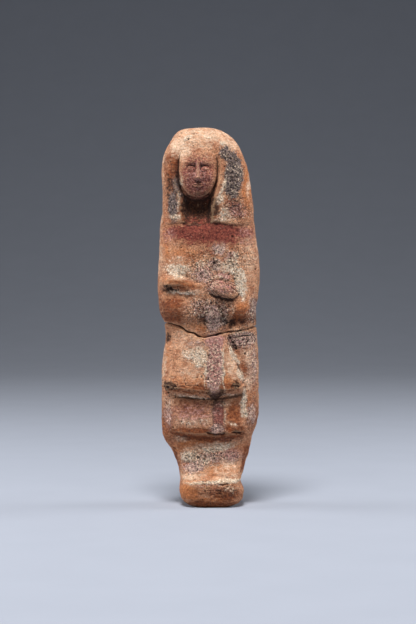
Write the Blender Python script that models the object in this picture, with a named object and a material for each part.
"""Fired clay shabti, pressed in a mould: long wig, arms bent over the belly, kilt with a stiff apron.

The figure faces -Y and stands on a small flat sole at z = 0. All sizes are metres. Every number in the
tables is a millimetre on a figure 210 mm tall, and UNIT carries it to the height that is set below.
"""

import math

import bmesh
import bpy
import numpy as np

HEIGHT = 0.210
UNIT = HEIGHT / 210

# The blank, before carving. Each row is (level, size), from below the sole to the crown.
LEFT_EDGE = [
    (-1.5, -10.0), (0.0, -12.8), (1.5, -14.4), (4.0, -15.7), (8.0, -16.1), (14.0, -15.8), (18.0, -16.1),
    (22.5, -17.1), (27.0, -19.0), (31.5, -21.3), (36.0, -24.4), (40.0, -25.7), (48.0, -26.1),
    (72.0, -25.9), (84.0, -25.1), (93.0, -23.9), (101.0, -24.4), (106.0, -26.6), (112.0, -27.6),
    (122.0, -28.2), (134.0, -27.6), (145.0, -27.2), (156.0, -26.6), (163.0, -25.7), (172.0, -25.4),
    (184.0, -26.1), (191.0, -25.6), (198.0, -23.4), (203.0, -20.6), (206.5, -18.2), (208.5, -15.8),
    (209.5, -13.0),
]
RIGHT_EDGE = [
    (-1.5, 15.0), (0.0, 18.0), (1.5, 19.3), (4.0, 20.0), (8.0, 19.8), (13.0, 18.3), (20.0, 19.8),
    (30.0, 22.8), (38.0, 24.4), (44.0, 26.8), (52.0, 28.2), (72.0, 28.2), (86.0, 27.9), (100.0, 26.9),
    (108.0, 26.7), (116.0, 27.8), (128.0, 28.8), (136.0, 28.6), (145.0, 27.2), (156.0, 25.8),
    (165.0, 25.5), (176.0, 24.5), (186.0, 22.6), (193.0, 20.4), (199.0, 17.8), (203.0, 14.8),
    (206.5, 11.2), (208.5, 7.6), (209.5, 4.4),
]
FRONT_DEPTH = [
    (-1.5, 16.0), (0.0, 19.0), (1.5, 20.9), (5.0, 22.8), (10.0, 23.4), (13.5, 21.8), (18.0, 17.8),
    (25.0, 14.8), (34.0, 14.2), (40.0, 16.2), (52.0, 16.2), (62.0, 15.6), (74.0, 15.2), (86.0, 14.8),
    (96.0, 14.6), (101.0, 15.4), (106.0, 17.0), (112.0, 17.0), (122.0, 15.6), (134.0, 14.8),
    (146.0, 14.2), (158.0, 13.8), (170.0, 14.4), (182.0, 15.2), (192.0, 15.0), (199.0, 13.4),
    (204.0, 11.2), (207.0, 8.6), (208.8, 6.2), (209.5, 4.6),
]
BACK_DEPTH = [
    (-1.5, 7.5), (0.0, 10.0), (2.0, 12.0), (6.0, 13.0), (14.0, 12.4), (26.0, 11.6), (40.0, 12.6),
    (58.0, 14.6), (74.0, 15.4), (90.0, 13.8), (100.0, 13.0), (114.0, 14.0), (130.0, 15.2), (144.0, 15.0),
    (156.0, 14.0), (168.0, 15.0), (182.0, 16.4), (194.0, 15.4), (201.0, 12.8), (206.0, 9.4), (208.6, 6.4),
    (209.5, 4.6),
]
# How square the sections are: 2 is an ellipse.
FRONT_SQUARENESS = [(0.0, 4.2), (14.0, 3.4), (30.0, 2.7), (190.0, 2.7), (209.0, 2.3)]
BACK_SQUARENESS = 2.2
CROWN_RISE = 0.5
# The carving fades out at the mould's seam, the faster the higher this power is.
SEAM_FADE = 9

# Grid of the carved form, before it is thinned to FACETS triangles.
FRONT_STEPS = 160
BACK_STEPS = 64
RING_SPACING = [
    (-1.5, 0.5), (6.0, 0.9), (90.0, 0.9), (93.0, 0.4), (101.0, 0.4), (104.0, 0.9), (165.0, 0.9),
    (170.0, 0.45), (200.0, 0.45), (206.0, 0.4), (209.5, 0.15),
]
CAP_RINGS = 6
FACETS = 9200

# Wig, face opening and neck. The opening's recess is read by level, from the chest to the forehead.
FACE_X = -5.6
CHIN_LEVEL = 171.5
HAIRLINE_LEVEL = 199.0
FACE_HEIGHT = HAIRLINE_LEVEL - CHIN_LEVEL
FACE_WIDTH = 19.5
FACE_FRONT = [(170.0, 16.4), (178.0, 17.1), (190.0, 16.5), (200.0, 13.4)]
FACE_ROUNDNESS = 3.4
# The face's outline: the level of its widest place, how far it reaches below and above that, as shares of its
# height, its half width as a share of its width, and how steeply its rim drops to the wig.
FACE_MIDDLE, FACE_BELOW, FACE_ABOVE = 0.56, 0.57, 0.66
FACE_HALF_WIDTH = 0.53
FACE_DROP = 14
NECK_HALF_WIDTH = 6.8
OPENING_HALF_WIDTH = [(155.0, 6.2), (166.0, NECK_HALF_WIDTH), (176.0, 9.2), (184.0, 10.6)]
OPENING_RECESS = [
    (151.0, 0.0), (155.0, 0.6), (159.0, 2.4), (164.0, 4.8), (170.0, 5.6), (178.0, 4.6), (186.0, 3.0),
    (194.0, 1.2), (200.0, 0.0),
]
WIG_SLOPE_RIGHT, WIG_SLOPE_LEFT = 3.6, 1.8
LAPPET_LEVEL = 156.5
LAPPET_STEP = 0.9
LAPPET_FADE = (168.0, 188.0)

# Face: (across in fifths of its width, up in thirds of its height), radii in the same shares, height in mm.
EYE = (1.0, 1.68)
MOUTH = (0.0, 0.67)
FACE_MOUNDS = {
    "eye sockets": (EYE, (0.8, 0.32), -1.0),
    "inner corners of the eyes": ((0.5, 1.72), (0.3, 0.24), -0.8),
    "brows": ((1.05, 1.98), (1.0, 0.12), 0.6),
    "cheeks": ((1.35, 1.2), (0.8, 0.42), 0.6),
    "mouth": (MOUTH, (0.95, 0.34), 0.8),
    "parting of the lips": (MOUTH, (0.74, 0.045), -0.8),
    "hollow under the lips": ((0.0, 0.31), (0.5, 0.09), -0.5),
    "chin": ((0.0, 0.24), (0.6, 0.2), 0.9),
}
FACE_PILLOWS = {
    "eyelids": (EYE, (0.72, 0.24), 0.5),
    "eyeballs": ((1.0, 1.67), (0.6, 0.15), 0.7),
    "wings of the nose": ((0.42, 1.13), (0.24, 0.16), 0.9),
    "upper lip": ((0.0, 0.77), (0.82, 0.12), 0.8),
    "lower lip": ((0.0, 0.54), (0.68, 0.13), 0.9),
}
NOSE_BASE, NOSE_ROOT = 1.0, 2.0
NOSE_HEIGHT = (0.8, 2.4)
NOSE_HALF_WIDTH = (0.45, 0.72)

# Right forearm, a ridge along a line that falls to the middle, and the left hand, an oval pad.
FOREARM_LINE = [(-27.0, 124.2), (-18.0, 124.4), (-10.0, 122.0), (-3.0, 119.2)]
FOREARM_HEIGHT = [(-28.0, 2.4), (-22.0, 3.6), (-12.0, 2.9), (-5.0, 1.4), (2.0, 0.0)]
FOREARM_ABOVE, FOREARM_BELOW = (0.6, 5.4), (-4.6, -1.2)
HAND_MIDDLE, HAND_RADII = (8.2, 120.2), (9.0, 5.6)
HAND_TILT, HAND_HEIGHT = -13.0, 4.0
HAND_UNDERCUT = (-5.2, -2.6)

# Soft mounds and hollows on the front: middle, radii, height and tilt in degrees.
BODY_MOUNDS = {
    "hollow under the right forearm": ((-23.0, 119.0), (5.0, 2.4), -1.2, 0),
    "wrists, crossed in the middle": ((0.0, 123.0), (8.0, 4.6), 1.2, 0),
    "left elbow": ((18.5, 107.0), (5.2, 5.6), 1.3, 0),
    "right side of the belly": ((-20.0, 107.0), (8.5, 6.0), 1.2, 0),
    "hollow below the left hand": ((10.0, 102.0), (3.0, 4.6), -1.2, 0),
    "groove along the right upper arm": ((-21.5, 141.0), (2.2, 11.0), -0.5, 0),
    "groove along the left upper arm": ((21.5, 137.0), (2.4, 14.0), -0.5, 0),
    "slit where the kilt crosses": ((13.1, 90.0), (1.2, 5.0), -1.3, 24),
    "groove beside the thigh": ((18.8, 54.0), (1.3, 7.5), -0.7, 0),
}

# Kilt: the stiff apron and the lower hem, each with a groove that shades it from below.
APRON_X, APRON_LEVEL, APRON_CURVE = -1.0, 63.4, 0.005
APRON_LIFT = [(58.0, 5.0), (66.0, 4.7), (76.0, 3.2), (88.0, 1.0), (95.0, 0.0)]
APRON_RIGHT = [(58.0, 19.6), (66.0, 18.8), (92.0, 8.8)]
APRON_LEFT = [(58.0, -24.0), (66.0, -23.6), (92.0, -19.0)]
APRON_LIP = (-3.4, 1.2)
APRON_GROOVE_HALF_WIDTH = 20.0
HEM_X, HEM_LEVEL, HEM_CURVE = 2.0, 39.8, 0.003
HEM_LIP, HEM_FADE = (-1.8, 0.8), (3.0, 16.0)
HEM_LIFT, HEM_HALF_WIDTH = 2.2, 21.5
GROOVE_DEPTH = 0.9

# Toes: a rim along their upper edge, with a dip behind it.
TOE_LEVEL, TOE_CLIMB = 13.4, 0.05
TOE_RIM, TOE_RIM_WIDTH = 0.9, 2.0
INSTEP_DIP, INSTEP_DIP_LEVEL = 0.5, 3.4

# Back: the end of the wig and a shallow spine.
BACK_WIG_STEP, BACK_WIG_END, BACK_WIG_FADE = 0.8, (149.0, 152.5), (156.0, 178.0)
SPINE_DEPTH, SPINE_WIDTH, SPINE_LOW, SPINE_HIGH = 0.7, 3.0, (84.0, 96.0), (138.0, 150.0)

# The break across the waist, mended, with its two sides held a little apart.
BREAK_FRONT = [
    (-26.0, 101.2), (-19.5, 100.6), (-11.0, 96.7), (-2.0, 94.2), (8.0, 95.9), (18.0, 97.2), (27.5, 99.8),
]
BREAK_BACK = [(-26.0, 101.2), (-12.0, 103.2), (4.0, 101.4), (16.0, 98.4), (27.5, 99.8)]
BREAK_HALF_WIDTH = 0.5
BREAK_DEPTH = 0.9

CLAY = (0.60, 0.32, 0.17, 1.0)


def hermite(points, t):
    """A smooth curve through (t, value) points that never swings past them."""
    ts, values = np.array(points, float).T
    slopes = np.diff(values) / np.diff(ts)
    before, after = slopes[:-1], slopes[1:]
    tangents = np.concatenate(([slopes[0]], np.zeros(len(slopes) - 1), [slopes[-1]]))
    turns = before * after <= 0
    total = np.where(turns, 1.0, before + after)
    tangents[1:-1] = np.where(turns, 0.0, 2 * before * after / total)
    t = np.clip(t, ts[0], ts[-1])
    i = np.clip(np.searchsorted(ts, t, side="right") - 1, 0, len(slopes) - 1)
    span = ts[i + 1] - ts[i]
    f = (t - ts[i]) / span
    return (
        values[i] * (1 + 2 * f) * (1 - f) ** 2
        + values[i + 1] * (3 - 2 * f) * f**2
        + span * f * (1 - f) * (tangents[i] * (1 - f) - tangents[i + 1] * f)
    )


def rise(t, low, high):
    """0 below low, 1 above high, and a smooth step between them. low may be the greater."""
    f = np.clip((t - low) / (high - low), 0, 1)
    return f * f * (3 - 2 * f)


def dome(x, z, centre, radii, tilt=0.0, edge=1.0):
    """A pillow of height 1 over an ellipse. edge under 1 makes its rim steeper."""
    dx, dz = x - centre[0], z - centre[1]
    c, s = math.cos(math.radians(tilt)), math.sin(math.radians(tilt))
    along, across = (dx * c + dz * s) / radii[0], (dz * c - dx * s) / radii[1]
    inside = np.clip(1 - along**2 - across**2, 0, 1)
    return inside**edge


def blob(x, z, centre, radii, tilt=0.0):
    """A soft mound of height 1 with no rim."""
    dx, dz = x - centre[0], z - centre[1]
    c, s = math.cos(math.radians(tilt)), math.sin(math.radians(tilt))
    along, across = (dx * c + dz * s) / radii[0], (dz * c - dx * s) / radii[1]
    return np.exp(-(along**2) - across**2)


def squared_dome(s, squareness):
    """Half a section: 1 in the middle and 0 at the seams, where s is -1 and 1."""
    return np.clip(1 - np.abs(s) ** squareness, 0, 1) ** (1 / squareness)


def join(a, b, blend):
    """The greater of two depths, with a fillet of about the size of blend where they cross."""
    h = np.clip(0.5 + (a - b) / (2 * blend), 0, 1)
    return b + (a - b) * h + blend * h * (1 - h)


def ridge(t, width):
    """A rounded ridge of height 1 along t = 0."""
    return np.exp(-((t / width) ** 2))


def face_relief(x, z):
    """Brow, eyes, nose, lips and chin, set out by the thirds and fifths of the drawing books."""
    side = np.abs(x - FACE_X) / (FACE_WIDTH / 5)
    up = (z - CHIN_LEVEL) / (FACE_HEIGHT / 3)
    form = np.zeros_like(x)
    for middle, radii, height in FACE_MOUNDS.values():
        form += height * blob(side, up, middle, radii)
    for middle, radii, height in FACE_PILLOWS.values():
        form += height * dome(side, up, middle, radii, edge=0.7)
    bridge = 1 - rise(up, NOSE_BASE + 0.2, NOSE_ROOT)
    half_width = NOSE_HALF_WIDTH[0] + (NOSE_HALF_WIDTH[1] - NOSE_HALF_WIDTH[0]) * bridge
    height = NOSE_HEIGHT[0] + (NOSE_HEIGHT[1] - NOSE_HEIGHT[0]) * bridge
    length = rise(up, NOSE_BASE - 0.05, NOSE_BASE + 0.16) * (1 - rise(up, NOSE_ROOT - 0.2, NOSE_ROOT + 0.25))
    return form + height * length * np.clip(1 - (side / half_width) ** 2, 0, 1)


def head(x, z, depth):
    """The wig's opening pushed back, the neck in it, and the face standing out of it."""
    u = x - FACE_X
    half = hermite(OPENING_HALF_WIDTH, z)
    slope = WIG_SLOPE_RIGHT + (WIG_SLOPE_LEFT - WIG_SLOPE_RIGHT) * rise(u, -1.0, 1.0)
    depth = depth - hermite(OPENING_RECESS, z) * (1 - rise(np.abs(u), half - 0.9, half + slope))
    up = (z - CHIN_LEVEL) / FACE_HEIGHT - FACE_MIDDLE
    low, high = np.clip(-up / FACE_BELOW, 0, None), np.clip(up / FACE_ABOVE, 0, None)
    inside = 1 - (u / (FACE_HALF_WIDTH * FACE_WIDTH)) ** 2 - low**2.4 - high**2.3
    roundness = FACE_ROUNDNESS * (np.sqrt(np.clip(inside, 0, 1)) - 1)
    outside = FACE_DROP * np.clip(inside, -2, 0)
    face = hermite(FACE_FRONT, z) + roundness + outside + face_relief(x, z) * rise(inside, 0.02, 0.3)
    return join(depth, face, 0.5)


def lappets(x, z):
    """The wig's two front ends lie on the chest, beside the neck, and stop in a low step."""
    end = LAPPET_LEVEL + 0.5 * np.sin(0.3 * x)
    beside_neck = rise(np.abs(x - FACE_X), NECK_HALF_WIDTH - 1.5, NECK_HALF_WIDTH + 1.0)
    return LAPPET_STEP * beside_neck * rise(z, end - 0.7, end + 0.9) * (1 - rise(z, *LAPPET_FADE))


def arms(x, z):
    """Right forearm and left hand, both rounded above and undercut below."""
    above = z - hermite(FOREARM_LINE, x)
    forearm = (1 - rise(above, *FOREARM_ABOVE)) * rise(above, *FOREARM_BELOW)
    pad = dome(x, z, HAND_MIDDLE, HAND_RADII, tilt=HAND_TILT, edge=0.5)
    slope = -math.tan(math.radians(HAND_TILT))
    over_hand = z - HAND_MIDDLE[1] + slope * (x - HAND_MIDDLE[0])
    return hermite(FOREARM_HEIGHT, x) * forearm + HAND_HEIGHT * pad * rise(over_hand, *HAND_UNDERCUT)


def apron(x, z):
    """The stiff front of the kilt, standing out to a curved lower edge with a shadow under it."""
    across = x - APRON_X
    above = z - APRON_LEVEL - APRON_CURVE * across**2
    right, left = hermite(APRON_RIGHT, z), hermite(APRON_LEFT, z)
    panel = (1 - rise(x, right - 1.0, right + 1.8)) * rise(x, left - 1.4, left + 1.8)
    inner = 1 - rise(np.abs(across), APRON_GROOVE_HALF_WIDTH - 2, APRON_GROOVE_HALF_WIDTH + 4)
    groove = GROOVE_DEPTH * ridge(above - APRON_LIP[0], 1.3) * inner
    return hermite(APRON_LIFT, z) * panel * rise(above, *APRON_LIP) - groove


def hem(x, z):
    """The lower edge of the kilt, a blunt step above the ankles."""
    above = z - HEM_LEVEL - HEM_CURVE * (x - HEM_X) ** 2
    inner = 1 - rise(np.abs(x), HEM_HALF_WIDTH - 2.5, HEM_HALF_WIDTH + 3)
    step = HEM_LIFT * rise(above, *HEM_LIP) * (1 - rise(above, *HEM_FADE))
    return (step - GROOVE_DEPTH * ridge(above - HEM_LIP[0] + 0.8, 1.6)) * inner


def feet(x, z):
    """The toes' upper edge, which climbs a little towards the figure's left."""
    above = z - TOE_LEVEL - TOE_CLIMB * x
    return TOE_RIM * ridge(above, TOE_RIM_WIDTH) - INSTEP_DIP * ridge(above - INSTEP_DIP_LEVEL, TOE_RIM_WIDTH)


def body_mounds(x, z):
    """The soft mounds and hollows of arms, belly and kilt."""
    form = np.zeros_like(x)
    for middle, radii, height, tilt in BODY_MOUNDS.values():
        form += height * blob(x, z, middle, radii, tilt)
    return form


def mended_break(x, z, line):
    """The groove that the break leaves along its line."""
    return -BREAK_DEPTH * ridge(z - hermite(line, x), BREAK_HALF_WIDTH)


def front_depth(x, z, s):
    """How far the carved front stands ahead of the mould's seam. s is x as a share of the half width."""
    bare = hermite(FRONT_DEPTH, z) * squared_dome(s, hermite(FRONT_SQUARENESS, z))
    carving = lappets(x, z) + arms(x, z) + body_mounds(x, z) + apron(x, z) + hem(x, z) + feet(x, z)
    depth = bare + (1 - np.abs(s) ** SEAM_FADE) * carving
    return head(x, z, depth) + mended_break(x, z, BREAK_FRONT)


def back_depth(x, z, s):
    """How far the plain back stands behind the seam, with the wig's end and a shallow spine."""
    bare = hermite(BACK_DEPTH, z) * squared_dome(s, BACK_SQUARENESS)
    wig_end = BACK_WIG_STEP * rise(z, *BACK_WIG_END) * (1 - rise(z, *BACK_WIG_FADE))
    spine = -SPINE_DEPTH * ridge(x, SPINE_WIDTH) * rise(z, *SPINE_LOW) * (1 - rise(z, *SPINE_HIGH))
    return bare + (1 - np.abs(s) ** SEAM_FADE) * (wig_end + spine) + mended_break(x, z, BREAK_BACK)


def ring_levels():
    """Levels of the rings, closer together over the face, the break and the crown."""
    lowest, highest = LEFT_EDGE[0][0], LEFT_EDGE[-1][0]
    levels = [lowest]
    while levels[-1] < highest:
        levels.append(levels[-1] + hermite(RING_SPACING, levels[-1]))
    levels[-1] = highest
    return np.array(levels)


def rings():
    """Points of every ring, as rings x steps x 3, in millimetres. A ring runs round from the left seam."""
    levels = ring_levels()
    angles = np.concatenate(
        (
            np.linspace(0, math.pi, FRONT_STEPS, endpoint=False),
            np.linspace(math.pi, 2 * math.pi, BACK_STEPS, endpoint=False),
        )
    )
    z, angle = np.meshgrid(levels, angles, indexing="ij")
    left, right = hermite(LEFT_EDGE, z), hermite(RIGHT_EDGE, z)
    s = -np.cos(angle)
    x = (left + right) / 2 + s * (right - left) / 2
    y = np.where(angle < math.pi, -front_depth(x, z, s), back_depth(x, z, s))
    return np.stack((x, y, z), axis=-1)


def crown(ring):
    """Rings that shrink over the top of the head, and its middle point."""
    middle = ring.mean(axis=0)
    shares = np.linspace(1, 0, CAP_RINGS + 1)[1:-1]
    up = np.array((0, 0, CROWN_RISE))
    caps = [middle + (ring - middle) * share + up * (1 - share**2) for share in shares]
    return caps, middle + up


def carved_mesh():
    """The full form as one closed mesh: the rings, a fan over the crown and a fan below the sole."""
    body = list(rings())
    caps, top = crown(body[-1])
    body += caps
    bottom = body[0].mean(axis=0)
    bm = bmesh.new()
    loops = [[bm.verts.new(point * UNIT) for point in ring] for ring in body]
    count = len(loops[0])
    for lower, upper in zip(loops, loops[1:]):
        for i in range(count):
            j = (i + 1) % count
            bm.faces.new((lower[i], lower[j], upper[j], upper[i]))
    top_point, bottom_point = bm.verts.new(top * UNIT), bm.verts.new(bottom * UNIT)
    for i in range(count):
        j = (i + 1) % count
        bm.faces.new((loops[-1][i], loops[-1][j], top_point))
        bm.faces.new((loops[0][j], loops[0][i], bottom_point))
    mesh = bpy.data.meshes.new("shabti_form")
    bm.to_mesh(mesh)
    bm.free()
    return mesh


def thinned(obj):
    """The object's mesh with FACETS triangles, which crowd where the carving is."""
    triangles = sum(len(p.vertices) - 2 for p in obj.data.polygons)
    thin = obj.modifiers.new("thin", "DECIMATE")
    thin.ratio = FACETS / triangles
    thin.use_collapse_triangulate = True
    seen = obj.evaluated_get(bpy.context.evaluated_depsgraph_get())
    mesh = bpy.data.meshes.new_from_object(seen)
    obj.modifiers.clear()
    return mesh


def cut_sole(mesh):
    """Cuts the rounded underside off flat at z = 0, so that the figure stands."""
    bm = bmesh.new()
    bm.from_mesh(mesh)
    everything = bm.verts[:] + bm.edges[:] + bm.faces[:]
    bmesh.ops.bisect_plane(bm, geom=everything, plane_co=(0, 0, 0), plane_no=(0, 0, 1), clear_inner=True)
    rim = [edge for edge in bm.edges if edge.is_boundary]
    bmesh.ops.edgeloop_fill(bm, edges=rim)
    bmesh.ops.recalc_face_normals(bm, faces=bm.faces[:])
    bm.to_mesh(mesh)
    bm.free()


def centre_on_origin(mesh):
    """Puts the middle of the figure's box, seen from above, over the origin."""
    points = np.array([v.co for v in mesh.vertices])
    middle = (points.min(axis=0) + points.max(axis=0)) / 2
    for vertex in mesh.vertices:
        vertex.co.x -= middle[0]
        vertex.co.y -= middle[1]


def clay():
    """Low-fired Nile clay: matt, orange-tan."""
    material = bpy.data.materials.new("fired_clay")
    material.use_nodes = True
    shader = material.node_tree.nodes["Principled BSDF"]
    shader.inputs["Base Color"].default_value = CLAY
    shader.inputs["Roughness"].default_value = 0.85
    shader.inputs["Metallic"].default_value = 0.0
    return material


def main():
    for obj in list(bpy.data.objects):
        bpy.data.objects.remove(obj)
    collection = bpy.data.collections.new("shabti")
    bpy.context.scene.collection.children.link(collection)
    figure = bpy.data.objects.new("figure", carved_mesh())
    collection.objects.link(figure)
    figure.data = thinned(figure)
    cut_sole(figure.data)
    centre_on_origin(figure.data)
    figure.data.materials.append(clay())
    figure.data.shade_smooth()
    return figure


main()
